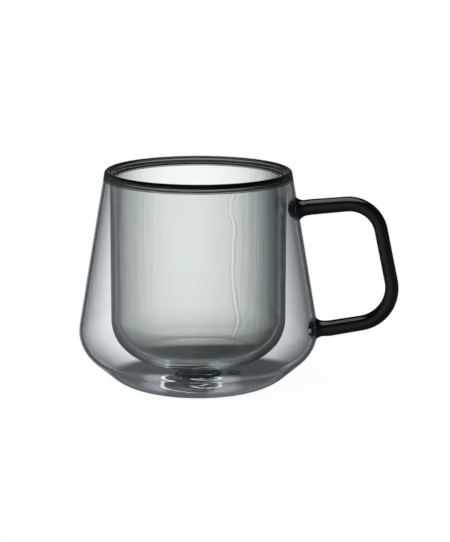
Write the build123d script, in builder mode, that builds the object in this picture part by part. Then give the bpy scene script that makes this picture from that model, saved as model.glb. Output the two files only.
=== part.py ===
from build123d import *

import os
from math import asin, atan2, cos, degrees, radians, sin, sqrt

# Double walled glass cup with a drawn glass handle. The origin is the middle of the face it stands on,
# +Z is up and +X points to the handle. Lengths are millimetres, angles are degrees.

# Whole cup
cup_height = 93.5
mouth_diameter = 80.6
widest_diameter = 103.5
widest_height = 23.6
standing_diameter = 51.2

# Outer shell, whose rounds follow the width of its bowl
shell_wall = 1.5
shoulder_round_share = 0.624
heel_round_share = 0.763

# Base of the outer shell
standing_ring_width = 1.6
base_slope_width = 4.5
base_rise = 0.3

# Inner cup, set in from the mouth's outer edge
inner_cup_inset = 2.5
inner_cup_wall = 2.1
inner_floor_thickness = 2.6
inner_cup_clearance_below = 7.6
inner_corner_round = 19.0
inner_floor_round = 95.0

# Rim, where both walls are melted into one lip
lip_thickness = 2.8
lip_flare_depth = 3.4
solid_rim_depth = 2.6
rim_weld_depth = 3.8

# Handle, a drawn rod that is thinner along the grip
arm_diameter = 6.8
knee_diameter = 6.5
grip_diameter = 5.75
upper_foot_drop = 16.1
upper_arm_rise = 6.0
upper_corner_reach = 75.8
upper_corner_round = 13.8
lower_foot_height = 25.2
lower_arm_rise = 11.15
lower_corner_reach = 86.4
lower_corner_round = 15.8
foot_bend_reach = 1.6
foot_bend_round = 15.0

# Collars, where the rod's hot ends spread over the outer shell
collar_diameter = 12.0
collar_flare_length = 3.6
collar_land = 0.5
collar_sink = 0.6

# Domes, where the soft wall gave way behind the feet, each a share of the air gap there
dome_diameter = 10.8
upper_dome_share = 0.85
lower_dome_share = 0.175

# Seal, the glass gather that closes the middle of the base's raised part
seal_share = 0.536
seal_height = 5.2
seal_ridge_height = 0.7
seal_dimple = 0.4
seal_valley_shares = (1, 0.7, 0.38)

# Vent plug, pressed into the hole that lets the air out while the walls are welded
vent_margin = 0.4
vent_angle = 12.0
vent_hole_diameter = 4.6
vent_head_diameter = 6.6
vent_head_thickness = 0.6
vent_foot_diameter = 6.0
vent_foot_thickness = 0.2
vent_edge_round = 0.25

overrun = 2.0
down = -90
inward = 180

os.makedirs("parts", exist_ok=True)

# Rounds of the outer profile, as centres in the X-Z half plane
lip_round = lip_thickness / 2
bowl_width = (widest_diameter - standing_diameter) / 2
shoulder_round = bowl_width * shoulder_round_share
heel_round = bowl_width * heel_round_share
lip_centre = Vector(mouth_diameter / 2 - lip_round, cup_height - lip_round)
shoulder_centre = Vector(widest_diameter / 2 - shoulder_round, widest_height)
heel_centre = Vector(standing_diameter / 2, heel_round)


def shared_normal(start, start_round, end, end_round):
    """Angle of the normal of the straight run that touches two rounds on their outer side."""
    run = end - start
    return degrees(atan2(run.X, -run.Y) + asin((end_round - start_round) / run.length))


def on_round(centre, size, angle):
    """Point of a round at an angle from the X direction."""
    return centre + Vector(cos(radians(angle)), sin(radians(angle))) * size


side_normal = shared_normal(lip_centre, lip_round, shoulder_centre, shoulder_round)
bowl_normal = shared_normal(shoulder_centre, shoulder_round, heel_centre, heel_round)


def side_radius(height, inset=0):
    """Distance of the shell's sloping side from the axis, at a height and an inset into the wall."""
    level = lip_round - inset - (height - lip_centre.Y) * sin(radians(side_normal))
    return lip_centre.X + level / cos(radians(side_normal))


weld_height = cup_height - rim_weld_depth
weld_outside = (side_radius(weld_height), weld_height)
weld_inside = (side_radius(weld_height, shell_wall), weld_height)
inner_radius = mouth_diameter / 2 - inner_cup_inset
ring_inside = standing_diameter / 2 - standing_ring_width
rise_inside = ring_inside - base_slope_width
seal_radius = rise_inside * seal_share
base_top = base_rise + shell_wall


def shell_side(inset):
    """Profile of the shell at an inset, from the weld down to the ring it stands on."""
    shoulder_start = on_round(shoulder_centre, shoulder_round - inset, side_normal)
    heel_start = on_round(heel_centre, heel_round - inset, bowl_normal)
    Line((side_radius(weld_height, inset), weld_height), shoulder_start)
    shoulder_arc = bowl_normal - side_normal
    shoulder = CenterArc(shoulder_centre, shoulder_round - inset, side_normal, shoulder_arc)
    Line(shoulder @ 1, heel_start)
    CenterArc(heel_centre, heel_round - inset, bowl_normal, down - bowl_normal)


def wall_radius(height):
    """Distance of the shell's outer face from the axis, on its side or on its shoulder."""
    if height > shoulder_centre.Y + shoulder_round * sin(radians(side_normal)):
        return side_radius(height)
    return shoulder_centre.X + sqrt(shoulder_round**2 - (height - shoulder_centre.Y) ** 2)


collar_radius = collar_diameter / 2


def foot_plane(height):
    """Plane of a foot of the handle, whose X runs out square to the wall under its collar."""
    above = wall_radius(height + collar_radius)
    below = wall_radius(height - collar_radius)
    outward = Vector(collar_diameter, 0, below - above)
    return Plane(origin=((above + below) / 2, 0, height), x_dir=outward, z_dir=(0, -1, 0))


upper_foot = foot_plane(cup_height - upper_foot_drop)
lower_foot = foot_plane(lower_foot_height)
dome_shares = ((upper_foot, upper_dome_share), (lower_foot, lower_dome_share))
vent_offset = rise_inside - vent_head_diameter / 2 - vent_margin
vent_middle = (vent_offset * cos(radians(vent_angle)), vent_offset * sin(radians(vent_angle)))

with BuildPart() as outer_shell:
    with BuildSketch(Plane.XZ):
        with BuildLine():
            shell_side(0)
            Line((heel_centre.X, 0), (ring_inside, 0))
            Spline((ring_inside, 0), (rise_inside, base_rise), tangents=((-1, 0), (-1, 0)))
            Line((rise_inside, base_rise), (seal_radius, base_rise))
            Line((seal_radius, base_rise), (seal_radius, base_top))
            Line((seal_radius, base_top), (rise_inside, base_top))
            Spline((rise_inside, base_top), (heel_centre.X, shell_wall), tangents=((1, 0), (1, 0)))
            shell_side(shell_wall)
            Line(weld_outside, weld_inside)
        make_face()
    revolve(axis=Axis.Z)
    # Domes behind the handle's feet, rooted in the middle of the wall
    for foot, share in dome_shares:
        dome_depth = shell_wall + (foot.origin.X - shell_wall - inner_radius) * share
        with BuildSketch(foot):
            with BuildLine():
                Line((-dome_depth, 0), (-shell_wall / 2, 0))
                Line((-shell_wall / 2, 0), (-shell_wall / 2, dome_diameter / 2))
                TangentArc((-dome_depth, 0), (-shell_wall / 2, dome_diameter / 2), tangent=(0, 1))
            make_face()
        revolve(axis=Axis(foot.origin, foot.x_dir))
    with BuildSketch(Plane.XY):
        with Locations(vent_middle):
            Circle(vent_hole_diameter / 2)
    extrude(amount=base_top + overrun, mode=Mode.SUBTRACT)
outer_shell.part.label = "outer_shell"
export_step(outer_shell.part, "parts/outer_shell.step")

# The inner cup's floor is a wide round that runs into the corner's smaller one
corner_reach = inner_radius - inner_corner_round
floor_centre = Vector(0, inner_cup_clearance_below + inner_floor_round)
corner_drop = sqrt((inner_floor_round - inner_corner_round) ** 2 - corner_reach**2)
corner_centre = Vector(corner_reach, floor_centre.Y - corner_drop)
floor_angle = degrees(atan2(corner_centre.Y - floor_centre.Y, corner_reach))


def cup_side(inset, lift):
    """Profile of the inner cup, inset and lifted, from the weld down to the middle of its floor."""
    corner = corner_centre + Vector(0, lift)
    Line((inner_radius - inset, weld_height), (inner_radius - inset, corner.Y))
    CenterArc(corner, inner_corner_round - inset, 0, floor_angle)
    CenterArc(floor_centre + Vector(0, lift), inner_floor_round - inset, floor_angle, down - floor_angle)


with BuildPart() as inner_cup:
    with BuildSketch(Plane.XZ):
        with BuildLine():
            cup_side(0, 0)
            cup_side(inner_cup_wall, inner_floor_thickness - inner_cup_wall)
            Line((0, inner_cup_clearance_below), (0, inner_cup_clearance_below + inner_floor_thickness))
            Line((inner_radius, weld_height), (inner_radius - inner_cup_wall, weld_height))
        make_face()
    revolve(axis=Axis.Z)
inner_cup.part.label = "inner_cup"
export_step(inner_cup.part, "parts/inner_cup.step")

# The gap between the walls ends in a small round that touches both
slope_cos = cos(radians(side_normal))
slope_sin = sin(radians(side_normal))
gap_width = (lip_centre.X - inner_radius) * slope_cos + lip_round - shell_wall
gap_round = (gap_width + (solid_rim_depth - lip_round) * slope_sin) / (1 + slope_cos - slope_sin)
gap_centre = Vector(inner_radius + gap_round, cup_height - solid_rim_depth - gap_round)
inner_face = inner_radius - inner_cup_wall
flare_end = (inner_face, cup_height - lip_flare_depth)
lip_inside = (lip_centre.X - lip_round, lip_centre.Y)

with BuildPart() as rim_bead:
    with BuildSketch(Plane.XZ):
        with BuildLine():
            lip = CenterArc(lip_centre, lip_round, side_normal, inward - side_normal)
            Line(lip @ 0, weld_outside)
            Line(weld_outside, weld_inside)
            gap = CenterArc(gap_centre, gap_round, side_normal, inward - side_normal)
            Line(weld_inside, gap @ 0)
            Line(gap @ 1, (inner_radius, weld_height))
            Line((inner_radius, weld_height), (inner_face, weld_height))
            Line((inner_face, weld_height), flare_end)
            Spline(flare_end, lip_inside, tangents=((0, 1), (0, 1)))
        make_face()
    revolve(axis=Axis.Z)
rim_bead.part.label = "rim_bead"
export_step(rim_bead.part, "parts/rim_bead.step")

# Collars: a concave flare that runs up the rod from a foot pressed onto the shell
collar_end = collar_flare_length + collar_land
feet = {"upper_handle_collar": upper_foot, "lower_handle_collar": lower_foot}
for name, foot in feet.items():
    with BuildPart() as collar:
        with BuildSketch(foot):
            with BuildLine():
                Line((-collar_sink, 0), (-collar_sink, collar_radius))
                flare_start = (collar_flare_length, arm_diameter / 2)
                TangentArc(flare_start, (-collar_sink, collar_radius), tangent=(-1, 0))
                Line(flare_start, (collar_end, arm_diameter / 2))
                Line((collar_end, arm_diameter / 2), (collar_end, 0))
                Line((collar_end, 0), (-collar_sink, 0))
            make_face()
        revolve(axis=Axis(foot.origin, foot.x_dir))
        add(outer_shell.part, mode=Mode.SUBTRACT)
    collar.part.label = name
    export_step(collar.part, f"parts/{name}.step")


# Handle: upper arm, grip and lower arm, with a bend at each corner and a slight one at each foot
def rod_corners(foot, rise, reach):
    """End of the rod on its collar, and the ends of the arm's straight line."""
    rod_end = foot.origin + foot.x_dir * collar_end
    foot_bend = rod_end + foot.x_dir * foot_bend_reach
    arm_climb = (reach - foot_bend.X) * sin(radians(rise)) / cos(radians(rise))
    return rod_end, foot_bend, Vector(reach, 0, foot_bend.Z + arm_climb)


upper_points = rod_corners(upper_foot, upper_arm_rise, upper_corner_reach)
lower_points = rod_corners(lower_foot, lower_arm_rise, lower_corner_reach)
rod_points = [*upper_points, *reversed(lower_points)]
rod_rounds = (foot_bend_round, upper_corner_round, lower_corner_round, foot_bend_round)
rod_diameters = (arm_diameter, knee_diameter, grip_diameter, grip_diameter, knee_diameter, arm_diameter)
rod_station_shares = (0, 0.14, 0.38, 0.58, 0.8, 1)

with BuildPart() as handle:
    with BuildLine() as rod_line:
        FilletPolyline(*rod_points, radius=rod_rounds)
    for share, diameter in zip(rod_station_shares, rod_diameters):
        rod_plane = Plane(origin=rod_line.line @ share, x_dir=(0, 1, 0), z_dir=rod_line.line % share)
        with BuildSketch(rod_plane):
            Circle(diameter / 2)
    sweep(multisection=True)
handle.part.label = "handle"
export_step(handle.part, "parts/handle.step")

# Seal: rings left by the melted gather, on a plug that fills the hole in the base
def seal_level(share):
    """Height of the seal's dome between its rings, at a share of its radius."""
    return base_top + (seal_height - seal_ridge_height - base_top) * (1 - share**2)


with BuildPart() as base_seal:
    with BuildSketch(Plane.XZ):
        with BuildLine():
            Spline((0, base_rise + seal_dimple), (seal_radius, base_rise), tangents=((1, 0), (1, 0)))
            Line((seal_radius, base_rise), (seal_radius, base_top))
            for outside, inside in zip(seal_valley_shares, seal_valley_shares[1:]):
                middle = (outside + inside) / 2
                ThreePointArc(
                    (outside * seal_radius, seal_level(outside)),
                    (middle * seal_radius, seal_level(middle) + seal_ridge_height),
                    (inside * seal_radius, seal_level(inside)),
                )
            TangentArc((0, seal_height), (inside * seal_radius, seal_level(inside)), tangent=(1, 0))
            Line((0, seal_height), (0, base_rise + seal_dimple))
        make_face()
    revolve(axis=Axis.Z)
base_seal.part.label = "base_seal"
export_step(base_seal.part, "parts/base_seal.step")

# Vent plug: a head over the hole, a stem through it and a foot that stays above the table
with BuildPart() as vent_plug:
    with BuildSketch(Plane.XY.offset(base_top)):
        with Locations(vent_middle):
            Circle(vent_head_diameter / 2)
    extrude(amount=vent_head_thickness)
    fillet(vent_plug.edges().group_by(Axis.Z)[-1], vent_edge_round)
    with BuildSketch(Plane.XY.offset(base_rise)):
        with Locations(vent_middle):
            Circle(vent_hole_diameter / 2)
    extrude(amount=shell_wall)
    with BuildSketch(Plane.XY.offset(base_rise)):
        with Locations(vent_middle):
            Circle(vent_foot_diameter / 2)
    extrude(amount=-vent_foot_thickness)
vent_plug.part.label = "vent_plug"
export_step(vent_plug.part, "parts/vent_plug.step")
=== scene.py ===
from math import asin, atan2, cos, degrees, pi, radians, sin, sqrt, tan

import bmesh
import bpy
from mathutils import Matrix, Vector


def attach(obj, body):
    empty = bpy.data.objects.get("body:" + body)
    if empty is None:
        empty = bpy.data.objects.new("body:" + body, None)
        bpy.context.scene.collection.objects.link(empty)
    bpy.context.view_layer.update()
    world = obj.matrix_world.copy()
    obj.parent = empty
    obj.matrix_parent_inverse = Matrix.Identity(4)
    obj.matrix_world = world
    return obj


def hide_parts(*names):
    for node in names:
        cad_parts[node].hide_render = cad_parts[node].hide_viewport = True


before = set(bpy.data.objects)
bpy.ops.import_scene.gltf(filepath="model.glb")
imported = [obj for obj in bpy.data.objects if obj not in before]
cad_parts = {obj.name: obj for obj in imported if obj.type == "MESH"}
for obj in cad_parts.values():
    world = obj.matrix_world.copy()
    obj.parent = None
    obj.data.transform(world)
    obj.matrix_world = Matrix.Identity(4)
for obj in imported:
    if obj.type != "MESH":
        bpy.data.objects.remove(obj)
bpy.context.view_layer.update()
scene = bpy.context.scene
mm = 0.001
hairline = 0.02  # mm of air between two pieces that touch, so that no two faces lie in one place
print("frame loaded:", ", ".join(sorted(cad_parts)))


# Whole cup, in mm: the outline that all pieces share
cup = {
    "height": 93.5,
    "mouthDiameter": 80.6,
    "widestDiameter": 103.5,
    "widestHeight": 23.6,
    "standingDiameter": 51.2,
    "shellWall": 1.5,
    "shoulderShare": 0.624,  # the shoulder's radius, as a share of the bowl's width
    "heelShare": 0.763,
    "standingRing": 1.6,  # width of the ring that touches the table
    "baseSlope": 4.5,  # width over which the base rises inside that ring
    "baseRise": 0.3,
    "innerInset": 2.5,  # from the lip's outside to the inner cup's
    "innerWall": 2.1,
    "lipThickness": 2.8,
    "weldDepth": 3.8,  # from the top down to where both walls meet the rim
    "turnSteps": 192,  # of a full turn
    "wallSteps": 2,  # across a wall
}

# Angles in degrees: two directions in an outline's plane, from X towards Z, and two turns
down = -90
inward = 180
quarterTurn = 90
halfTurn = 180


def onRound(centre, radius, angle):
    return centre + Vector((cos(radians(angle)), sin(radians(angle)))) * radius


def sharedNormal(start, startRadius, end, endRadius):  # of the straight line that touches two rounds
    run = end - start
    return degrees(atan2(run.x, -run.y) + asin((endRadius - startRadius) / run.length))


# Places that more than one piece needs, worked out as the model does
lipRound = cup["lipThickness"] / 2
bowlWidth = (cup["widestDiameter"] - cup["standingDiameter"]) / 2
shoulderRound = bowlWidth * cup["shoulderShare"]
heelRound = bowlWidth * cup["heelShare"]
lipCentre = Vector((cup["mouthDiameter"] / 2 - lipRound, cup["height"] - lipRound))
shoulderCentre = Vector((cup["widestDiameter"] / 2 - shoulderRound, cup["widestHeight"]))
heelCentre = Vector((cup["standingDiameter"] / 2, heelRound))
sideNormal = sharedNormal(lipCentre, lipRound, shoulderCentre, shoulderRound)
bowlNormal = sharedNormal(shoulderCentre, shoulderRound, heelCentre, heelRound)
weldHeight = cup["height"] - cup["weldDepth"]
innerRadius = cup["mouthDiameter"] / 2 - cup["innerInset"]
ringInside = heelCentre.x - cup["standingRing"]
riseInside = ringInside - cup["baseSlope"]
baseTop = cup["baseRise"] + cup["shellWall"]


def sideRadius(height, inset=0):  # of the shell's sloping side
    level = lipRound - inset - (height - lipCentre.y) * sin(radians(sideNormal))
    return lipCentre.x + level / cos(radians(sideNormal))


def wallRadius(height):  # of the shell's outer face, on its side or its shoulder
    if height > shoulderCentre.y + shoulderRound * sin(radians(sideNormal)):
        return sideRadius(height)
    return shoulderCentre.x + sqrt(shoulderRound**2 - (height - shoulderCentre.y) ** 2)


# Outlines are wires in the X-Z plane, drawn from one vertex
samePlace = 0.002  # mm within which two of their points are one


def inPlane(point):
    return Vector((point[0] * mm, 0, point[1] * mm))


def startAt(bm, point):
    return bmesh.ops.create_vert(bm, co=inPlane(point))["vert"][0]


def lineTo(bm, vert, point, steps=1):
    start, end = vert.co.copy(), inPlane(point)
    for step in range(steps):
        vert = bmesh.ops.extrude_vert_indiv(bm, verts=[vert])["verts"][0]
        vert.co = start.lerp(end, (step + 1) / steps)
    return vert


def arcTo(bm, vert, centre, angle, steps):  # a positive angle turns from X towards Z
    last = bmesh.ops.spin(
        bm, geom=[vert], cent=inPlane(centre), axis=(0, -1, 0),
        angle=radians(angle), steps=steps, use_merge=False, use_duplicate=False,
    )["geom_last"]
    return [part for part in last if isinstance(part, bmesh.types.BMVert)][0]


def easeTo(bm, vert, point, steps):  # an S bend that leaves and arrives level, or upright if it climbs more
    start, end = vert.co.copy(), inPlane(point)
    upright = abs(end.z - start.z) > abs(end.x - start.x)
    for step in range(steps):
        share = (step + 1) / steps
        eased = share * share * (3 - 2 * share)
        vert = bmesh.ops.extrude_vert_indiv(bm, verts=[vert])["verts"][0]
        vert.co = start.lerp(end, share)
        if upright:
            vert.co.x = start.x + (end.x - start.x) * eased
        else:
            vert.co.z = start.z + (end.z - start.z) * eased
    return vert


def turnWire(bm, steps):  # turns the outline round Z into a closed solid
    bmesh.ops.remove_doubles(bm, verts=bm.verts[:], dist=samePlace * mm)
    bmesh.ops.spin(
        bm, geom=bm.verts[:] + bm.edges[:], cent=(0, 0, 0), axis=(0, 0, 1),
        angle=2 * pi, steps=steps, use_merge=True, use_duplicate=False,
    )
    bmesh.ops.remove_doubles(bm, verts=bm.verts[:], dist=samePlace * mm)
    bmesh.ops.dissolve_degenerate(bm, edges=bm.edges[:], dist=samePlace / 2 * mm)
    bmesh.ops.recalc_face_normals(bm, faces=bm.faces[:])


def toObject(bm, name):
    mesh = bpy.data.meshes.new(name)
    bm.to_mesh(mesh)
    bm.free()
    piece = bpy.data.objects.new(name, mesh)
    scene.collection.objects.link(piece)
    return piece


def combine(piece, others, operation="DIFFERENCE"):  # cuts the others away or joins them on, for good
    for other in others:
        step = piece.modifiers.new("combine", "BOOLEAN")
        step.operation = operation
        step.solver = "EXACT"
        step.object = other
    result = piece.evaluated_get(bpy.context.evaluated_depsgraph_get())
    mesh = bpy.data.meshes.new_from_object(result)
    piece.modifiers.clear()
    piece.data = mesh
    for other in others:
        bpy.data.objects.remove(other)


def finishPiece(piece, material, slot, *nodes):
    sharpAngle = 40  # degrees from which an edge looks sharp
    piece.data.shade_smooth()
    piece.data.set_sharp_from_angle(angle=radians(sharpAngle))
    piece.data.materials.clear()
    piece.data.materials.append(material)
    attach(piece, "root")
    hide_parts(*nodes)
    print(piece.name, len(piece.data.polygons), "faces")


# Materials
def linearColour(hexText):
    channels = [int(hexText[start:start + 2], 16) / 255 for start in (1, 3, 5)]
    return tuple(c / 12.92 if c <= 0.04045 else ((c + 0.055) / 1.055) ** 2.4 for c in channels) + (1,)


def addNode(tree, kind, inputs=None, **settings):  # each input is a value, or the socket that feeds it
    node = tree.nodes.new(kind)
    for name, value in settings.items():
        setattr(node, name, value)
    for name, value in (inputs or {}).items():
        if isinstance(value, bpy.types.NodeSocket):
            tree.links.new(value, node.inputs[name])
        else:
            node.inputs[name].default_value = value
    return node


def newMaterial(name):
    material = bpy.data.materials.new(name)
    material.use_nodes = True
    material.node_tree.nodes.clear()
    return material, material.node_tree


# Clear borosilicate glass with the fire polish that a flame leaves: no grain, only sharp reflections
firePolished = {"skin": "#ffffff", "clearness": 1.0, "roughness": 0.0, "ior": 1.47}


def cordNormal(tree, place, cord, normal):  # the thread of thicker glass that blowing leaves in a wall
    parts = addNode(tree, "ShaderNodeSeparateXYZ", {"Vector": place}).outputs
    swing = addNode(
        tree, "ShaderNodeTexNoise", {"W": parts["Z"], "Scale": 1 / (cord["period"] * mm), "Detail": 1.0},
        noise_dimensions="1D",
    ).outputs["Fac"]
    line = addNode(
        tree, "ShaderNodeMath",
        {0: swing, 1: cord["swing"] * mm, 2: (cord["place"] - cord["swing"] / 2) * mm},
        operation="MULTIPLY_ADD",
    ).outputs[0]
    beside = addNode(tree, "ShaderNodeMath", {0: parts["X"], 1: line}, operation="SUBTRACT").outputs[0]
    apart = addNode(tree, "ShaderNodeMath", {0: beside}, operation="ABSOLUTE").outputs[0]
    thread = addNode(
        tree, "ShaderNodeMapRange",
        {"Value": apart, "From Max": cord["width"] * mm, "To Min": 1.0, "To Max": 0.0},
        interpolation_type="SMOOTHSTEP",
    ).outputs["Result"]
    inFront = addNode(tree, "ShaderNodeMath", {0: parts["Y"], 1: 0}, operation="LESS_THAN").outputs[0]
    bump = addNode(
        tree, "ShaderNodeBump",
        {"Height": thread, "Strength": inFront, "Distance": cord["height"] * mm, **normal},
    )
    return {"Normal": bump.outputs["Normal"]}


def crumpledNormal(tree, place, crumple, normal):  # what the flame left round the axis, fading outwards
    start, end = crumple["reach"]
    flat = addNode(tree, "ShaderNodeVectorMath", {0: place, 1: (1, 1, 0)}, operation="MULTIPLY")
    reach = addNode(tree, "ShaderNodeVectorMath", {0: flat.outputs["Vector"]}, operation="LENGTH")
    inside = addNode(
        tree, "ShaderNodeMapRange",
        {
            "Value": reach.outputs["Value"], "From Min": start * mm, "From Max": end * mm,
            "To Min": 1.0, "To Max": 0.0,
        },
        interpolation_type="SMOOTHSTEP",
    ).outputs["Result"]
    folds = addNode(
        tree, "ShaderNodeTexNoise",
        {
            "Vector": place, "Scale": 1 / (crumple["width"] * mm),
            "Detail": 2.0, "Roughness": 0.6, "Distortion": 0.8,
        },
    ).outputs["Fac"]
    bump = addNode(
        tree, "ShaderNodeBump",
        {"Height": folds, "Strength": inside, "Distance": crumple["height"] * mm, **normal},
    )
    return {"Normal": bump.outputs["Normal"]}


# Each glass has its surface, its reliefs in mm, and the tint that grows with its thickness
def glassMaterial(name, look):
    material, tree = newMaterial(name)
    place = addNode(tree, "ShaderNodeTexCoord").outputs["Object"]
    normal = {}
    for relief, detail, roughness in (("waves", 1.0, 0.4), ("ripples", 2.0, 0.5)):
        size = look[relief]
        drawn = addNode(  # a stretch under 1 draws the relief out along Z
            tree, "ShaderNodeMapping", {"Vector": place, "Scale": (1, 1, size["stretch"])},
        ).outputs["Vector"]
        height = addNode(
            tree, "ShaderNodeTexNoise",
            {"Vector": drawn, "Scale": 1 / (size["width"] * mm), "Detail": detail, "Roughness": roughness},
        ).outputs["Fac"]
        bump = addNode(
            tree, "ShaderNodeBump",
            {"Height": height, "Strength": 1.0, "Distance": size["height"] * mm, **normal},
        )
        normal = {"Normal": bump.outputs["Normal"]}
    if "cord" in look:
        normal = cordNormal(tree, place, look["cord"], normal)
    if "crumple" in look:
        normal = crumpledNormal(tree, place, look["crumple"], normal)
    surface = addNode(
        tree, "ShaderNodeBsdfPrincipled",
        {
            "Base Color": linearColour(look["skin"]), "Roughness": look["roughness"], "IOR": look["ior"],
            "Transmission Weight": look["clearness"], **normal,
        },
    )
    shown = {"Surface": surface.outputs["BSDF"]}
    if "tint" in look:
        tint = addNode(
            tree, "ShaderNodeVolumeAbsorption",
            {"Color": linearColour(look["tint"]), "Density": look["tintDensity"]},
        )
        shown["Volume"] = tint.outputs["Volume"]
    addNode(tree, "ShaderNodeOutputMaterial", shown)
    return material


# Outer shell
# Its clear glass was blown: colourless to look through, grey along the edges, with slow waves in its wall
shell = {
    "sideSteps": 24,
    "shoulderSteps": 26,
    "bowlSteps": 6,
    "heelSteps": 24,
    "ringSteps": 3,
    "riseSteps": 6,
    "insideRiseSteps": 8,
    "baseSteps": 6,
    "glass": {
        **firePolished, "tint": "#73bce1", "tintDensity": 24,
        "waves": {"width": 26, "height": 0.05, "stretch": 0.5},
        "ripples": {"width": 5, "height": 0.002, "stretch": 0.5},
        "crumple": {"reach": (15, 22), "width": 2.5, "height": 0.06},
    },
}


def shellSide(bm, vert, inset):  # from the weld down to the ring that the cup stands on
    sideEnd = onRound(shoulderCentre, shoulderRound - inset, sideNormal)
    bowlEnd = onRound(heelCentre, heelRound - inset, bowlNormal)
    vert = lineTo(bm, vert, sideEnd, shell["sideSteps"])
    vert = arcTo(bm, vert, shoulderCentre, bowlNormal - sideNormal, shell["shoulderSteps"])
    vert = lineTo(bm, vert, bowlEnd, shell["bowlSteps"])
    return arcTo(bm, vert, heelCentre, down - bowlNormal, shell["heelSteps"])


def outerShell():
    wall = cup["shellWall"]
    top = weldHeight - hairline
    hole = sealRadius + hairline
    outsideTop, insideTop = (sideRadius(top), top), (sideRadius(top, wall), top)
    bm = bmesh.new()
    vert = shellSide(bm, startAt(bm, outsideTop), 0)
    vert = lineTo(bm, vert, (ringInside, 0), shell["ringSteps"])
    vert = easeTo(bm, vert, (riseInside, cup["baseRise"]), shell["riseSteps"])
    vert = lineTo(bm, vert, (hole, cup["baseRise"]), shell["baseSteps"])
    lineTo(bm, vert, (hole, baseTop), cup["wallSteps"])
    vert = shellSide(bm, startAt(bm, insideTop), wall)
    vert = easeTo(bm, vert, (riseInside, baseTop), shell["insideRiseSteps"])
    lineTo(bm, vert, (hole, baseTop), shell["baseSteps"])
    lineTo(bm, startAt(bm, outsideTop), insideTop, cup["wallSteps"])
    turnWire(bm, cup["turnSteps"])
    return toObject(bm, "outer_shell")


# Inner cup
# Its smoke glass was blown: a grey haze that darkens at the sides, with fine upright lines and one cord
inner = {
    "floorThickness": 2.6,
    "clearanceBelow": 7.6,  # from the table to the middle of the floor's underside
    "cornerRound": 19.0,
    "floorRound": 95.0,
    "sideSteps": 30,
    "cornerSteps": 30,
    "floorSteps": 16,
    "glass": {
        **firePolished, "tint": "#a3b6a7", "tintDensity": 120,
        "waves": {"width": 22, "height": 0.06, "stretch": 0.35},
        "ripples": {"width": 2.2, "height": 0.02, "stretch": 0.06},
        "cord": {"place": 18.5, "swing": 9, "period": 24, "width": 0.9, "height": 0.026},
    },
}


def innerCup():
    cornerReach = innerRadius - inner["cornerRound"]
    floorCentre = Vector((0, inner["clearanceBelow"] + inner["floorRound"]))
    drop = sqrt((inner["floorRound"] - inner["cornerRound"]) ** 2 - cornerReach**2)
    corner = Vector((cornerReach, floorCentre.y - drop))
    floorAngle = degrees(atan2(-drop, cornerReach))
    top = weldHeight - hairline
    bm = bmesh.new()
    for inset, lift in ((0, 0), (cup["innerWall"], inner["floorThickness"] - cup["innerWall"])):
        raised = Vector((0, lift))
        radius = innerRadius - inset
        vert = lineTo(bm, startAt(bm, (radius, top)), (radius, corner.y + lift), inner["sideSteps"])
        vert = arcTo(bm, vert, corner + raised, floorAngle, inner["cornerSteps"])
        arcTo(bm, vert, floorCentre + raised, down - floorAngle, inner["floorSteps"])
    lineTo(bm, startAt(bm, (innerRadius, top)), (innerRadius - cup["innerWall"], top), cup["wallSteps"])
    turnWire(bm, cup["turnSteps"])
    return toObject(bm, "inner_cup")


# Rim, where both walls are melted into one lip
# Its smoke glass was melted by the flame: thick enough to look black, with sharp wet lines of light
rim = {
    "flareDepth": 2.7,  # from the top down to where the lip's round has met the inner face
    "solidDepth": 2.95,  # from the top down to the air gap
    "sideSteps": 4,
    "lipSteps": 22,
    "flareSteps": 8,
    "gapSideSteps": 2,
    "gapSteps": 12,
    "glass": {
        **firePolished, "tint": "#161a1a", "tintDensity": 320,
        "waves": {"width": 18, "height": 0.03, "stretch": 1.0},
        "ripples": {"width": 4, "height": 0.001, "stretch": 1.0},
    },
}


def rimBead():
    slopeCos, slopeSin = cos(radians(sideNormal)), sin(radians(sideNormal))
    gapWidth = (lipCentre.x - innerRadius) * slopeCos + lipRound - cup["shellWall"]
    gapRound = (gapWidth + (rim["solidDepth"] - lipRound) * slopeSin) / (1 + slopeCos - slopeSin)
    gapCentre = Vector((innerRadius + gapRound, cup["height"] - rim["solidDepth"] - gapRound))
    innerFace = innerRadius - cup["innerWall"]
    outside = (sideRadius(weldHeight), weldHeight)
    gapOutside = (sideRadius(weldHeight, cup["shellWall"]), weldHeight)
    bm = bmesh.new()
    vert = lineTo(bm, startAt(bm, outside), onRound(lipCentre, lipRound, sideNormal), rim["sideSteps"])
    vert = arcTo(bm, vert, lipCentre, inward - sideNormal, rim["lipSteps"])
    vert = easeTo(bm, vert, (innerFace, cup["height"] - rim["flareDepth"]), rim["flareSteps"])
    vert = lineTo(bm, vert, (innerFace, weldHeight))
    vert = lineTo(bm, vert, (innerRadius, weldHeight), cup["wallSteps"])
    vert = lineTo(bm, vert, onRound(gapCentre, gapRound, inward), rim["gapSideSteps"])
    vert = arcTo(bm, vert, gapCentre, sideNormal - inward, rim["gapSteps"])
    vert = lineTo(bm, vert, gapOutside, rim["gapSideSteps"])
    lineTo(bm, vert, outside, cup["wallSteps"])
    turnWire(bm, cup["turnSteps"])
    return toObject(bm, "rim_bead")


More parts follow.
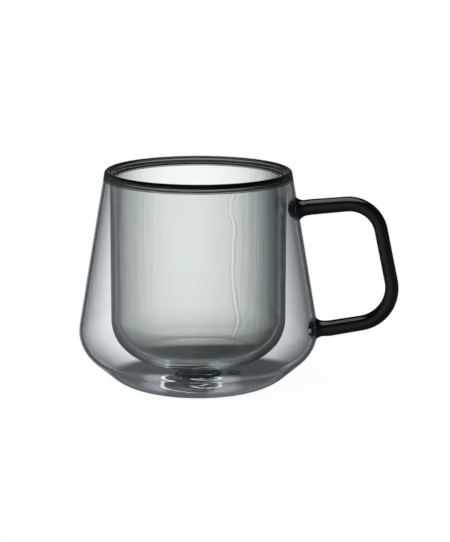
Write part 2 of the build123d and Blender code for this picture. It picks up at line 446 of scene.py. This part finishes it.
# Handle, a rod that is thinner along the grip, with its collars and the domes behind them
# Its black glass was drawn: solid black to look at, with one soft line of light along the rod
handle = {
    "armDiameter": 6.8,
    "kneeDiameter": 6.5,
    "gripDiameter": 5.75,
    "upperFootDrop": 16.1,  # from the top down to the middle of the foot
    "upperRise": 6.0,  # degrees that the arm climbs
    "upperCorner": 75.8,  # from the cup's axis to where the arm's line meets the grip's
    "upperRound": 13.8,
    "lowerFootHeight": 25.2,
    "lowerRise": 11.15,
    "lowerCorner": 86.4,
    "lowerRound": 15.8,
    "footBendReach": 1.6,
    "footBendRound": 15.0,
    "stationShares": (0, 0.14, 0.38, 0.58, 0.8, 1),  # of its length: arm, knee, grip, grip, knee, arm
    "ringSteps": 64,
    "stepLength": 1.0,
    "leastBendSteps": 4,
    "glass": {
        "skin": "#0a0c0d", "clearness": 0.0, "roughness": 0.1, "ior": 1.5,
        "waves": {"width": 16, "height": 0.02, "stretch": 1.0},
        "ripples": {"width": 4, "height": 0.001, "stretch": 1.0},
    },
}
collar = {
    "diameter": 12.0,
    "flare": 3.6,
    "land": 0.5,  # straight part at the rod's end
    "sink": 0.6,  # how far it is drawn into the wall, before the wall is cut away
    "turnSteps": 96,
    "rootSteps": 8,
    "flareSteps": 24,
    "landSteps": 2,
    "endSteps": 4,
    "bandSteps": 8,
}
dome = {
    "diameter": 10.8,
    "upperShare": 0.85,  # of the air gap behind each foot
    "lowerShare": 0.175,
    "capSteps": 24,
    "rootSteps": 6,
}
collarEnd = collar["flare"] + collar["land"]


def footOn(height):  # a foot's middle on the wall, and the way out of the wall under its collar
    half = collar["diameter"] / 2
    above, below = wallRadius(height + half), wallRadius(height - half)
    return Vector(((above + below) / 2, height)), Vector((2 * half, below - above)).normalized()


feet = {
    "upper": footOn(cup["height"] - handle["upperFootDrop"]),
    "lower": footOn(handle["lowerFootHeight"]),
}


def outOf(side, distance):
    foot, out = feet[side]
    return foot + out * distance


def footPlace(side):  # turns a shape made round Z to stand on the wall at a foot
    foot, out = feet[side]
    return Matrix.Translation(inPlane(foot)) @ Matrix.Rotation(atan2(out.x, out.y), 4, "Y")


def diameterAt(share, diameters):  # eased between the stations
    stations = handle["stationShares"]
    for start, end, startSize, endSize in zip(stations, stations[1:], diameters, diameters[1:]):
        if share <= end:
            part = (share - start) / (end - start)
            return startSize + (endSize - startSize) * part * part * (3 - 2 * part)
    return diameters[-1]


def armCorner(side):  # where the straight line of an arm would meet the grip's
    bend = outOf(side, collarEnd + handle["footBendReach"])
    reach = handle[side + "Corner"] - bend.x
    return Vector((handle[side + "Corner"], bend.y + reach * tan(radians(handle[side + "Rise"]))))


def rodMoves():  # the moves that take a ring along the rod from foot to foot, each with its length
    start, bend = collarEnd + hairline, collarEnd + handle["footBendReach"]
    points = [
        outOf("upper", start), outOf("upper", bend), armCorner("upper"),
        armCorner("lower"), outOf("lower", bend), outOf("lower", start),
    ]
    rounds = (handle["footBendRound"], handle["upperRound"], handle["lowerRound"], handle["footBendRound"])
    ways = [(end - start).normalized() for start, end in zip(points, points[1:])]
    turns = [before.angle_signed(after) for before, after in zip(ways, ways[1:])]  # clockwise is positive
    setbacks = [0] + [radius * tan(abs(turn) / 2) for radius, turn in zip(rounds, turns)] + [0]
    middle = inPlane(points[0])
    moves = []
    for index, way in enumerate(ways):
        run = (points[index + 1] - points[index]).length - setbacks[index] - setbacks[index + 1]
        steps = max(1, round(run / handle["stepLength"]))
        moves += [(Matrix.Translation(inPlane(way * run / steps)), run / steps)] * steps
        middle = middle + inPlane(way * run)
        if index < len(turns):
            turn, radius = turns[index], rounds[index]
            steps = max(handle["leastBendSteps"], round(radius * abs(turn) / handle["stepLength"]))
            toCentre = Vector((way.y, -way.x)) * (radius if turn > 0 else -radius)
            centre = middle + inPlane(toCentre)
            turned = Matrix.Rotation(turn / steps, 4, "Y")
            aboutCentre = Matrix.Translation(centre) @ turned @ Matrix.Translation(-centre)
            moves += [(aboutCentre, radius * abs(turn) / steps)] * steps
            middle = centre + Matrix.Rotation(turn, 4, "Y") @ (middle - centre)
    return moves


def handleRod():  # a ring drawn along the rod, and resized at each step
    moves = rodMoves()
    total = sum(length for _, length in moves)
    diameters = [handle[part + "Diameter"] for part in ("arm", "knee", "grip", "grip", "knee", "arm")]
    place = footPlace("upper") @ Matrix.Translation((0, 0, (collarEnd + hairline) * mm))
    middle, travelled, diameter = place.translation.copy(), 0.0, diameters[0]
    bm = bmesh.new()
    bmesh.ops.create_circle(
        bm, cap_ends=False, radius=diameter / 2 * mm, segments=handle["ringSteps"], matrix=place,
    )
    edges = firstEdges = bm.edges[:]
    for move, length in moves:
        made = bmesh.ops.extrude_edge_only(bm, edges=edges)["geom"]
        verts = [part for part in made if isinstance(part, bmesh.types.BMVert)]
        bmesh.ops.transform(bm, verts=verts, matrix=move)
        middle = move @ middle
        travelled += length
        newDiameter = diameterAt(travelled / total, diameters)
        growth = newDiameter / diameter
        bmesh.ops.scale(bm, verts=verts, vec=(growth, growth, growth), space=Matrix.Translation(-middle))
        diameter = newDiameter
        onRing = set(verts)
        edges = [
            part for part in made
            if isinstance(part, bmesh.types.BMEdge) and onRing.issuperset(part.verts)
        ]
    bmesh.ops.contextual_create(bm, geom=firstEdges)
    bmesh.ops.contextual_create(bm, geom=edges)
    bmesh.ops.recalc_face_normals(bm, faces=bm.faces[:])
    return toObject(bm, "handle")


def wallDome(side):  # clear glass of the wall, pushed into the air gap behind a foot
    gap = feet[side][0].x - cup["shellWall"] - innerRadius
    depth = cup["shellWall"] + gap * dome[side + "Share"]
    root = -cup["shellWall"] / 2
    half = dome["diameter"] / 2
    rise = depth + root
    radius = (rise**2 + half**2) / (2 * rise)
    bm = bmesh.new()
    vert = startAt(bm, (0, -depth))
    vert = arcTo(bm, vert, (0, radius - depth), degrees(asin(half / radius)), dome["capSteps"])
    lineTo(bm, vert, (0, root), dome["rootSteps"])
    turnWire(bm, collar["turnSteps"])
    piece = toObject(bm, "wallDome")
    piece.data.transform(footPlace(side))
    return piece


def wallBand():  # the shell's wall with a hairline of air over it, to trim the collars with
    ends = []
    bm = bmesh.new()
    for inset in (-hairline, cup["shellWall"]):
        start = (sideRadius(weldHeight, inset), weldHeight)
        sideEnd = onRound(shoulderCentre, shoulderRound - inset, sideNormal)
        vert = lineTo(bm, startAt(bm, start), sideEnd, collar["bandSteps"])
        vert = arcTo(bm, vert, shoulderCentre, bowlNormal - sideNormal, shell["shoulderSteps"])
        ends.append((start, (vert.co.x / mm, vert.co.z / mm)))
    for outside, inside in zip(*ends):
        lineTo(bm, startAt(bm, outside), inside)
    turnWire(bm, cup["turnSteps"])
    return toObject(bm, "wallBand")


def handleCollar(side):
    edge, rod = collar["diameter"] / 2, handle["armDiameter"] / 2
    rise = collar["flare"] + collar["sink"]
    radius = (rise**2 + (edge - rod) ** 2) / (2 * (edge - rod))
    bm = bmesh.new()
    vert = startAt(bm, (0, -collar["sink"]))
    vert = lineTo(bm, vert, (edge, -collar["sink"]), collar["rootSteps"])
    flareCentre = (rod + radius, collar["flare"])
    vert = arcTo(bm, vert, flareCentre, -degrees(asin(rise / radius)), collar["flareSteps"])
    vert = lineTo(bm, vert, (rod, collarEnd), collar["landSteps"])
    lineTo(bm, vert, (0, collarEnd), collar["endSteps"])
    turnWire(bm, collar["turnSteps"])
    piece = toObject(bm, side + "_handle_collar")
    piece.data.transform(footPlace(side))
    combine(piece, [wallBand()])
    return piece


# Seal, the gather of glass that closes the middle of the base
# Its clear glass was gathered in the flame: a small rippled lens that breaks up what lies under it
seal = {
    "share": 0.536,  # of the base's flat middle
    "height": 5.2,  # from the table
    "ridge": 0.7,  # height of each ring ridge
    "dimple": 0.4,  # hollow under its middle
    "valleyShares": (1, 0.7, 0.38),  # of its radius, from its edge to the innermost ridge
    "swirlHeight": 1.1,
    "swirlArms": 3,
    "swirlTurns": 1.3,
    "turnSteps": 128,
    "dimpleSteps": 14,
    "wallSteps": 3,
    "ridgeSteps": 14,
    "topSteps": 12,
    "glass": {
        **firePolished, "tint": "#6d7876", "tintDensity": 180,
        "waves": {"width": 5, "height": 0.12, "stretch": 1.0},
        "ripples": {"width": 2, "height": 0.01, "stretch": 1.0},
    },
}
sealRadius = riseInside * seal["share"]


def centreThrough(first, second, third):  # of the circle through three points
    a, b = second - first, third - first
    turn = 2 * (a.x * b.y - a.y * b.x)
    return first + Vector((
        (b.y * a.length_squared - a.y * b.length_squared) / turn,
        (a.x * b.length_squared - b.x * a.length_squared) / turn,
    ))


def sealPoint(share, lift=0):  # on the gather's top, as if it had no ridges, or so much above it
    level = baseTop + (seal["height"] - seal["ridge"] - baseTop) * (1 - share**2)
    return Vector((share * sealRadius, level + lift))


def baseSeal():
    bm = bmesh.new()
    vert = startAt(bm, (0, cup["baseRise"] + seal["dimple"]))
    vert = easeTo(bm, vert, (sealRadius, cup["baseRise"]), seal["dimpleSteps"])
    vert = lineTo(bm, vert, (sealRadius, baseTop), seal["wallSteps"])
    for outside, inside in zip(seal["valleyShares"], seal["valleyShares"][1:]):
        start, end = sealPoint(outside), sealPoint(inside)
        centre = centreThrough(start, sealPoint((outside + inside) / 2, seal["ridge"]), end)
        vert = arcTo(bm, vert, centre, degrees((start - centre).angle(end - centre)), seal["ridgeSteps"])
    easeTo(bm, vert, (0, seal["height"]), seal["topSteps"])
    turnWire(bm, seal["turnSteps"])
    # Swirl that the turning flame left on the gather's top, highest halfway out
    for vert in bm.verts:
        reach = sqrt(vert.co.x**2 + vert.co.y**2) / (sealRadius * mm)
        if vert.co.z > baseTop * mm and reach < 1:
            turn = seal["swirlArms"] * atan2(vert.co.y, vert.co.x) + 2 * pi * seal["swirlTurns"] * reach
            fade = 4 * reach * (1 - reach)
            vert.co.z += seal["swirlHeight"] / 2 * mm * sin(turn) * fade
    return toObject(bm, "base_seal")


# Vent plug, in the hole beside the seal
vent = {
    "margin": 0.4,  # between its head and the edge of the base's flat middle
    "angle": 12.0,  # degrees from the handle's side
    "stemDiameter": 4.6,
    "headDiameter": 6.6,
    "headThickness": 0.6,
    "footDiameter": 6.0,
    "footThickness": 0.2,
    "edge": 0.25,
    "turnSteps": 64,
    "faceSteps": 4,
    "stemSteps": 3,
    "headSteps": 2,
    "edgeSteps": 6,
    "colour": "#d5d9d8",
    "shade": "#c2c6c5",
    "grain": 0.6,
    "grainHeight": 0.02,
    "roughness": 0.18,
    "ior": 1.41,
    "clearness": 0.85,
}


def ventPlace():
    offset = riseInside - vent["headDiameter"] / 2 - vent["margin"]
    way = Vector((cos(radians(vent["angle"])), sin(radians(vent["angle"])), 0))
    return Matrix.Translation(way * offset * mm)


def ventPlug():
    head, stem, foot = vent["headDiameter"] / 2, vent["stemDiameter"] / 2, vent["footDiameter"] / 2
    low, edge = cup["baseRise"], vent["edge"]
    bottom, top = low - vent["footThickness"], baseTop + vent["headThickness"]
    bm = bmesh.new()
    vert = lineTo(bm, startAt(bm, (0, bottom)), (foot, bottom), vent["faceSteps"])
    vert = lineTo(bm, vert, (foot, low - hairline))
    vert = lineTo(bm, vert, (stem, low - hairline))
    vert = lineTo(bm, vert, (stem, baseTop + hairline), vent["stemSteps"])
    vert = lineTo(bm, vert, (head, baseTop + hairline), vent["headSteps"])
    vert = lineTo(bm, vert, (head, top - edge), vent["headSteps"])
    vert = arcTo(bm, vert, (head - edge, top - edge), quarterTurn, vent["edgeSteps"])
    lineTo(bm, vert, (0, top), vent["faceSteps"])
    turnWire(bm, vent["turnSteps"])
    piece = toObject(bm, "vent_plug")
    piece.data.transform(ventPlace())
    return piece


def ventHole():  # the cutter for the hole, well longer than the base is thick
    radius = (vent["stemDiameter"] / 2 + hairline) * mm
    bm = bmesh.new()
    bmesh.ops.create_cone(
        bm, cap_ends=True, segments=vent["turnSteps"], radius1=radius, radius2=radius,
        depth=4 * baseTop * mm, matrix=ventPlace(),
    )
    return toObject(bm, "ventHole")


def siliconeMoulded():  # milky, half clear rubber, with a fine grain from its mould that dulls its shine
    material, tree = newMaterial("siliconeMoulded")
    place = addNode(tree, "ShaderNodeTexCoord").outputs["Object"]
    grain = addNode(
        tree, "ShaderNodeTexNoise", {"Vector": place, "Scale": 1 / (vent["grain"] * mm), "Detail": 3.0},
    ).outputs["Fac"]
    colour = addNode(  # its sockets 6 and 7 are the two colours
        tree, "ShaderNodeMix",
        {"Factor": grain, 6: linearColour(vent["colour"]), 7: linearColour(vent["shade"])},
        data_type="RGBA",
    ).outputs[2]
    bump = addNode(
        tree, "ShaderNodeBump", {"Height": grain, "Strength": 0.5, "Distance": vent["grainHeight"] * mm},
    )
    surface = addNode(
        tree, "ShaderNodeBsdfPrincipled",
        {
            "Base Color": colour, "Normal": bump.outputs["Normal"], "Roughness": vent["roughness"],
            "IOR": vent["ior"], "Transmission Weight": vent["clearness"],
        },
    )
    addNode(tree, "ShaderNodeOutputMaterial", {"Surface": surface.outputs["BSDF"]})
    return material


print("modelling")
shellPiece = outerShell()
combine(shellPiece, [wallDome(side) for side in feet], "UNION")
combine(shellPiece, [ventHole()])
finishPiece(shellPiece, glassMaterial("clearGlassBlown", shell["glass"]), "shell_glass", "outer_shell")
finishPiece(innerCup(), glassMaterial("smokeGlassBlown", inner["glass"]), "cup_glass", "inner_cup")
finishPiece(rimBead(), glassMaterial("smokeGlassMelted", rim["glass"]), "rim_glass", "rim_bead")
rodGlass = glassMaterial("blackGlassDrawn", handle["glass"])
rodPieces = {"handle": handleRod()}
for side in feet:
    rodPieces[side + "_handle_collar"] = handleCollar(side)
for node, piece in rodPieces.items():
    finishPiece(piece, rodGlass, "handle_glass", node)
finishPiece(baseSeal(), glassMaterial("clearGlassGathered", seal["glass"]), "seal_glass", "base_seal")
finishPiece(ventPlug(), siliconeMoulded(), "vent_silicone", "vent_plug")


# Studio light, in degrees: oval glows on a dim surround, each with its level by distance from its middle
backdrop = {  # a glow is taller than it is wide where "tall" is under 1
    "colour": "#edf6fc",  # of its weakest light
    "mainGlow": {  # behind the cup, as the photograph sees it
        "azimuth": 97.6, "rise": -11.0, "tall": 0.7, "level": 1.26,
        "stops": ((0, 1.0), (3, 0.86), (6, 0.38), (9, 0.16), (12, 0.05), (16, 0.0)),
    },
    "leftGlow": {  # a small one beside it
        "turn": 10.5, "rise": -13.5, "tall": 0.6,
        "stops": ((0, 0.4), (3, 0.36), (5.5, 0.12), (8, 0.0)),
    },
    "sideGlow": {  # repeated on the other sides, which reflections hardly show
        "azimuth": 90.0, "period": 45.0, "rise": -14.0, "tall": 0.45, "level": 1.0, "mirroredLevel": 0.12,
        "stops": ((0, 1.0), (4, 0.85), (8, 0.45), (12, 0.2), (20, 0.0)),
        "fade": (32.0, 46.0),  # from the main glow
    },
    "dimLevel": 0.05,
    "leftAzimuth": 212.0,
    "leftLevel": 0.36,
    "topFade": (10.0, 40.0),  # above the table's level, where the studio turns dark
    "tableLevel": 0.14,
    "tableFade": (-55.0, -30.0),  # below it, where the pale table ends
}


def fallOff(tree, distance, stops):  # the level for each distance, smooth between the stops
    last = stops[-1][0]
    share = addNode(tree, "ShaderNodeMath", {0: distance, 1: last}, operation="DIVIDE", use_clamp=True)
    ramp = addNode(tree, "ShaderNodeValToRGB", {"Fac": share.outputs[0]})
    ramp.color_ramp.interpolation = "B_SPLINE"
    points = ramp.color_ramp.elements
    while len(points) < len(stops):
        points.new(1.0)
    for point, (stop, level) in zip(points, stops):
        point.position = stop / last
        point.color = (level, level, level, 1)
    return ramp.outputs["Color"]


def glowAt(tree, across, rise, glow):  # an oval glow, from the degrees beside its middle and the rise
    upward = addNode(
        tree, "ShaderNodeMath", {0: rise, 1: glow["tall"], 2: -glow["rise"] * glow["tall"]},
        operation="MULTIPLY_ADD",
    ).outputs[0]
    beside = addNode(tree, "ShaderNodeCombineXYZ", {"X": across, "Y": upward}).outputs["Vector"]
    apart = addNode(tree, "ShaderNodeVectorMath", {0: beside}, operation="LENGTH").outputs["Value"]
    return fallOff(tree, apart, glow["stops"])


def sideGlows(tree, turn, rise, fromMain, mirrorings):  # faded out round the main glow
    look = backdrop["sideGlow"]
    half = look["period"] / 2
    offset = addNode(tree, "ShaderNodeMath", {0: turn, 1: look["azimuth"]}, operation="SUBTRACT").outputs[0]
    across = addNode(tree, "ShaderNodeMath", {0: offset, 1: half, 2: -half}, operation="WRAP").outputs[0]
    shown = addNode(
        tree, "ShaderNodeMapRange",
        {"Value": mirrorings, "To Min": look["level"], "To Max": look["level"] * look["mirroredLevel"]},
    ).outputs["Result"]
    away = addNode(tree, "ShaderNodeMath", {0: fromMain}, operation="ABSOLUTE").outputs[0]
    faded = addNode(
        tree, "ShaderNodeMapRange",
        {"Value": away, "From Min": look["fade"][0], "From Max": look["fade"][1], "To Max": shown},
        interpolation_type="SMOOTHSTEP",
    ).outputs["Result"]
    glow = glowAt(tree, across, rise, look)
    return addNode(tree, "ShaderNodeMath", {0: glow, 1: faded}, operation="MULTIPLY").outputs[0]


def softLight(tree, way, rise, mirrorings):  # broad light from the left, dark above, and the pale table
    turned = radians(backdrop["leftAzimuth"])
    leftward = addNode(
        tree, "ShaderNodeVectorMath", {0: way, 1: (cos(turned), sin(turned), 0)}, operation="DOT_PRODUCT",
    ).outputs["Value"]
    onLeft = addNode(tree, "ShaderNodeMath", {0: leftward, 1: 0}, operation="MAXIMUM").outputs[0]
    level = addNode(
        tree, "ShaderNodeMath", {0: onLeft, 1: backdrop["leftLevel"], 2: backdrop["dimLevel"]},
        operation="MULTIPLY_ADD",
    ).outputs[0]
    around = addNode(
        tree, "ShaderNodeMapRange",
        {
            "Value": rise, "From Min": backdrop["topFade"][0], "From Max": backdrop["topFade"][1],
            "To Min": level, "To Max": 0.0,
        },
        interpolation_type="SMOOTHSTEP",
    ).outputs["Result"]
    table = addNode(
        tree, "ShaderNodeMapRange",
        {
            "Value": rise, "From Min": backdrop["tableFade"][0], "From Max": backdrop["tableFade"][1],
            "To Min": backdrop["tableLevel"], "To Max": 0.0,
        },
        interpolation_type="SMOOTHSTEP",
    ).outputs["Result"]
    unmirrored = addNode(tree, "ShaderNodeMath", {0: mirrorings, 1: 1}, operation="LESS_THAN").outputs[0]
    return addNode(
        tree, "ShaderNodeMath", {0: table, 1: unmirrored, 2: around}, operation="MULTIPLY_ADD",
    ).outputs[0]


def studioWorld():  # white to the camera itself, and the studio's light to every other ray
    world = bpy.data.worlds.new("studio")
    scene.world = world
    world.use_nodes = True
    tree = world.node_tree
    tree.nodes.clear()
    way = addNode(tree, "ShaderNodeTexCoord").outputs["Generated"]
    parts = addNode(tree, "ShaderNodeSeparateXYZ", {"Vector": way}).outputs
    azimuth = addNode(tree, "ShaderNodeMath", {0: parts["Y"], 1: parts["X"]}, operation="ARCTAN2").outputs[0]
    elevation = addNode(tree, "ShaderNodeMath", {0: parts["Z"]}, operation="ARCSINE").outputs[0]
    turn = addNode(tree, "ShaderNodeMath", {0: azimuth}, operation="DEGREES").outputs[0]
    rise = addNode(tree, "ShaderNodeMath", {0: elevation}, operation="DEGREES").outputs[0]
    path = addNode(tree, "ShaderNodeLightPath").outputs
    main, left = backdrop["mainGlow"], backdrop["leftGlow"]
    offset = addNode(tree, "ShaderNodeMath", {0: turn, 1: main["azimuth"]}, operation="SUBTRACT").outputs[0]
    fromMain = addNode(
        tree, "ShaderNodeMath", {0: offset, 1: halfTurn, 2: -halfTurn}, operation="WRAP",
    ).outputs[0]
    fromLeft = addNode(
        tree, "ShaderNodeMath", {0: fromMain, 1: left["turn"]}, operation="SUBTRACT",
    ).outputs[0]
    behind = addNode(
        tree, "ShaderNodeMath",
        {0: glowAt(tree, fromMain, rise, main), 1: main["level"], 2: glowAt(tree, fromLeft, rise, left)},
        operation="MULTIPLY_ADD",
    ).outputs[0]
    sides = sideGlows(tree, turn, rise, fromMain, path["Glossy Depth"])
    glows = addNode(tree, "ShaderNodeMath", {0: behind, 1: sides}, operation="ADD").outputs[0]
    soft = softLight(tree, way, rise, path["Glossy Depth"])
    level = addNode(tree, "ShaderNodeMath", {0: glows, 1: soft}, operation="ADD").outputs[0]
    colour = addNode(  # its sockets 6 and 7 are the two colours
        tree, "ShaderNodeMix", {"Factor": level, 6: linearColour(backdrop["colour"]), 7: (1, 1, 1, 1)},
        data_type="RGBA",
    ).outputs[2]
    lit = addNode(tree, "ShaderNodeBackground", {"Color": colour, "Strength": level})
    white = addNode(tree, "ShaderNodeBackground", {"Color": (1, 1, 1, 1), "Strength": 1.0})
    seen = addNode(
        tree, "ShaderNodeMixShader",
        {0: path["Is Camera Ray"], 1: lit.outputs["Background"], 2: white.outputs["Background"]},
    )
    addNode(tree, "ShaderNodeOutputWorld", {"Surface": seen.outputs["Shader"]})


# Table: a pale floor, and right under the cup a disc of painted shade, with painted light on it, that only
# rays through the glass see
floor = {
    "size": 6.0,  # m
    "colour": "#f4f4f4",
    "glow": 0.93,
}
shade = {  # painted shade under the cup, in mm, from the disc's middle
    "middle": 4.0,  # from the cup's axis, towards the handle
    "turnSteps": 96,
    "fade": (38.0, 47.0),
    "stops": ((0, 0.01), (12.5, 0.01), (13.5, 0.13), (26.0, 0.13)),  # painted shade, by distance from the middle of the painted patches of light
    "back": (-8.0, 1.0),  # from front to back, over which all that turns into plain deep painted shade
    "deepLevel": 0.085,
}
paintedCaustics = {  # painted patches of light, where the wavy base would gather it, in mm from their own middle
    "middle": (-6.0, -9.5),
    "tall": 1.3,  # over 1, so that they reach less far to the front and back
    "stops": ((0, 0.0), (11.5, 0.0), (12.5, 0.55), (19.5, 0.45), (23.0, 0.0)),
    "sides": (7.0, 12.0),  # left and right, between which they grow bright
    "frontShare": 0.15,  # of their light that is left between the sides
    "grain": 1.6,
    "ragged": 8.0,
}
paintedStreaks = {  # painted thin curved lines of light in their dark middle
    "middle": (6.0, 2.0),
    "period": 12.5,
    "crest": (0.94, 0.98),  # height of the wave from which a line shows
    "reach": (11.5, 16.0),  # from the middle of the gathered light
    "level": 1.5,
    "bend": 4.0,
}
ringsPerUnit = 20 / (2 * pi)  # that the wave texture draws at scale 1


def stagePlane(name, bm):
    plane = toObject(bm, name)
    return plane


def paleFloor():  # near white, with the cup's faint shadow on it, and unseen through the glass
    bm = bmesh.new()
    bmesh.ops.create_grid(bm, x_segments=1, y_segments=1, size=floor["size"] / 2)
    plane = stagePlane("floor", bm)
    plane.location.z = -2 * hairline * mm
    material, tree = newMaterial("paleFloor")
    lit = addNode(tree, "ShaderNodeBsdfDiffuse", {"Color": linearColour(floor["colour"])})
    glow = addNode(tree, "ShaderNodeEmission", {"Color": (1, 1, 1, 1), "Strength": floor["glow"]})
    both = addNode(tree, "ShaderNodeAddShader", {0: lit.outputs["BSDF"], 1: glow.outputs["Emission"]})
    addNode(tree, "ShaderNodeOutputMaterial", {"Surface": both.outputs["Shader"]})
    plane.data.materials.append(material)
    plane.visible_transmission = False
    plane.visible_glossy = False


def paintedShadeAndLight(tree, place):  # the dark disc's painted shade, with the painted patches and lines of light on it
    around = addNode(
        tree, "ShaderNodeVectorMath", {0: place, 1: (*paintedCaustics["middle"], 0)}, operation="SUBTRACT",
    ).outputs["Vector"]
    oval = addNode(
        tree, "ShaderNodeVectorMath", {0: around, 1: (1, paintedCaustics["tall"], 1)}, operation="MULTIPLY",
    ).outputs["Vector"]
    near = addNode(tree, "ShaderNodeVectorMath", {0: oval}, operation="LENGTH").outputs["Value"]
    grain = addNode(
        tree, "ShaderNodeTexNoise",
        {"Vector": around, "Scale": 1 / paintedCaustics["grain"], "Detail": 3.0, "Roughness": 0.65},
    ).outputs["Fac"]
    pushed = addNode(
        tree, "ShaderNodeMath", {0: grain, 1: paintedCaustics["ragged"], 2: near}, operation="MULTIPLY_ADD",
    ).outputs[0]
    ragged = addNode(
        tree, "ShaderNodeMath", {0: pushed, 1: paintedCaustics["ragged"] / 2}, operation="SUBTRACT",
    ).outputs[0]
    across = addNode(tree, "ShaderNodeSeparateXYZ", {"Vector": around}).outputs["X"]
    aside = addNode(tree, "ShaderNodeMath", {0: across}, operation="ABSOLUTE").outputs[0]
    sides = addNode(
        tree, "ShaderNodeMapRange",
        {
            "Value": aside, "From Min": paintedCaustics["sides"][0], "From Max": paintedCaustics["sides"][1],
            "To Min": paintedCaustics["frontShare"],
        },
        interpolation_type="SMOOTHSTEP",
    ).outputs["Result"]
    light = fallOff(tree, ragged, paintedCaustics["stops"])
    dark = fallOff(tree, ragged, shade["stops"])
    patches = addNode(
        tree, "ShaderNodeMath", {0: light, 1: sides, 2: dark}, operation="MULTIPLY_ADD",
    ).outputs[0]
    curved = addNode(
        tree, "ShaderNodeVectorMath", {0: oval, 1: (*paintedStreaks["middle"], 0)}, operation="SUBTRACT",
    ).outputs["Vector"]
    rings = addNode(
        tree, "ShaderNodeTexWave",
        {
            "Vector": curved, "Scale": 1 / (ringsPerUnit * paintedStreaks["period"]),
            "Distortion": paintedStreaks["bend"], "Detail": 1.5, "Detail Scale": 0.6, "Detail Roughness": 0.6,
        },
        wave_type="RINGS", rings_direction="SPHERICAL",
    ).outputs["Fac"]
    lines = addNode(
        tree, "ShaderNodeMapRange",
        {
            "Value": rings, "From Min": paintedStreaks["crest"][0], "From Max": paintedStreaks["crest"][1],
            "To Max": paintedStreaks["level"],
        },
        interpolation_type="SMOOTHSTEP",
    ).outputs["Result"]
    inside = addNode(
        tree, "ShaderNodeMapRange",
        {
            "Value": near, "From Min": paintedStreaks["reach"][0], "From Max": paintedStreaks["reach"][1],
            "To Min": 1.0, "To Max": 0.0,
        },
        interpolation_type="SMOOTHSTEP",
    ).outputs["Result"]
    return addNode(
        tree, "ShaderNodeMath", {0: lines, 1: inside, 2: patches}, operation="MULTIPLY_ADD",
    ).outputs[0]


# Painted shade and painted light of the table right under the cup, glowing from a disc that only rays
# through the glass see
def tableShade():
    bm = bmesh.new()
    bmesh.ops.create_circle(bm, cap_ends=True, segments=shade["turnSteps"], radius=shade["fade"][1] * mm)
    disc = stagePlane("tableShade", bm)
    disc.location = (shade["middle"] * mm, 0, -hairline * mm)
    material, tree = newMaterial("tableShade")
    metres = addNode(tree, "ShaderNodeTexCoord").outputs["Object"]
    place = addNode(
        tree, "ShaderNodeVectorMath", {0: metres, "Scale": 1 / mm}, operation="SCALE",
    ).outputs["Vector"]
    depth = addNode(tree, "ShaderNodeSeparateXYZ", {"Vector": place}).outputs["Y"]
    level = addNode(
        tree, "ShaderNodeMapRange",
        {
            "Value": depth, "From Min": shade["back"][0], "From Max": shade["back"][1],
            "To Min": paintedShadeAndLight(tree, place), "To Max": shade["deepLevel"],
        },
        interpolation_type="SMOOTHSTEP",
    ).outputs["Result"]
    # the disc glows with its painted shade and painted light
    lit = addNode(
        tree, "ShaderNodeEmission", {"Color": linearColour(backdrop["colour"]), "Strength": level},
    )
    clear = addNode(tree, "ShaderNodeBsdfTransparent")
    reach = addNode(tree, "ShaderNodeVectorMath", {0: place}, operation="LENGTH").outputs["Value"]
    outside = addNode(
        tree, "ShaderNodeMapRange",
        {"Value": reach, "From Min": shade["fade"][0], "From Max": shade["fade"][1]},
        interpolation_type="SMOOTHSTEP",
    ).outputs["Result"]
    both = addNode(
        tree, "ShaderNodeMixShader", {0: outside, 1: lit.outputs["Emission"], 2: clear.outputs["BSDF"]},
    )
    addNode(tree, "ShaderNodeOutputMaterial", {"Surface": both.outputs["Shader"]})
    disc.data.materials.append(material)
    disc.visible_camera = False
    disc.visible_glossy = False
    disc.visible_diffuse = False
    disc.visible_shadow = False


# Camera and lamp, in m and degrees
view = {
    "azimuth": 7.0,  # round from square on to the handle
    "elevation": 12.06,
    "distance": 0.9,
    "targetHeight": 0.047,
    "lens": 138.3,
    "shift": (0.0493, 0.0092),
}
lamp = {
    "place": (0.03, -0.02, 0.7),
    "size": (0.6, 0.55),
    "power": 2.4,
}
target = Vector((0, 0, view["targetHeight"]))


def topLight(pieces):  # gives only these pieces their soft line of light
    light = bpy.data.lights.new("topLight", "AREA")
    light.shape = "RECTANGLE"
    light.size, light.size_y = lamp["size"]
    light.energy = lamp["power"]
    holder = bpy.data.objects.new("topLight", light)
    scene.collection.objects.link(holder)
    holder.location = lamp["place"]
    holder.rotation_euler = (target - holder.location).to_track_quat("-Z", "Y").to_euler()
    holder.visible_camera = False
    lit = bpy.data.collections.new("lit")
    for piece in pieces:
        lit.objects.link(piece)
    holder.light_linking.receiver_collection = lit


def photoCamera():
    camera = bpy.data.objects.new("camera", bpy.data.cameras.new("camera"))
    scene.collection.objects.link(camera)
    turn, rise = radians(view["azimuth"]), radians(view["elevation"])
    back = Vector((sin(turn) * cos(rise), -cos(turn) * cos(rise), sin(rise)))
    camera.location = target + back * view["distance"]
    camera.rotation_euler = (-back).to_track_quat("-Z", "Y").to_euler()
    camera.data.lens = view["lens"]
    camera.data.shift_x, camera.data.shift_y = view["shift"]
    scene.camera = camera


print("studio")
studioWorld()
paleFloor()
tableShade()
topLight(rodPieces.values())
photoCamera()
scene.view_settings.view_transform = "Standard"
# A ray on its way through the cup meets many faces of glass
scene.cycles.max_bounces = 40
scene.cycles.transmission_bounces = 40
scene.cycles.glossy_bounces = 24
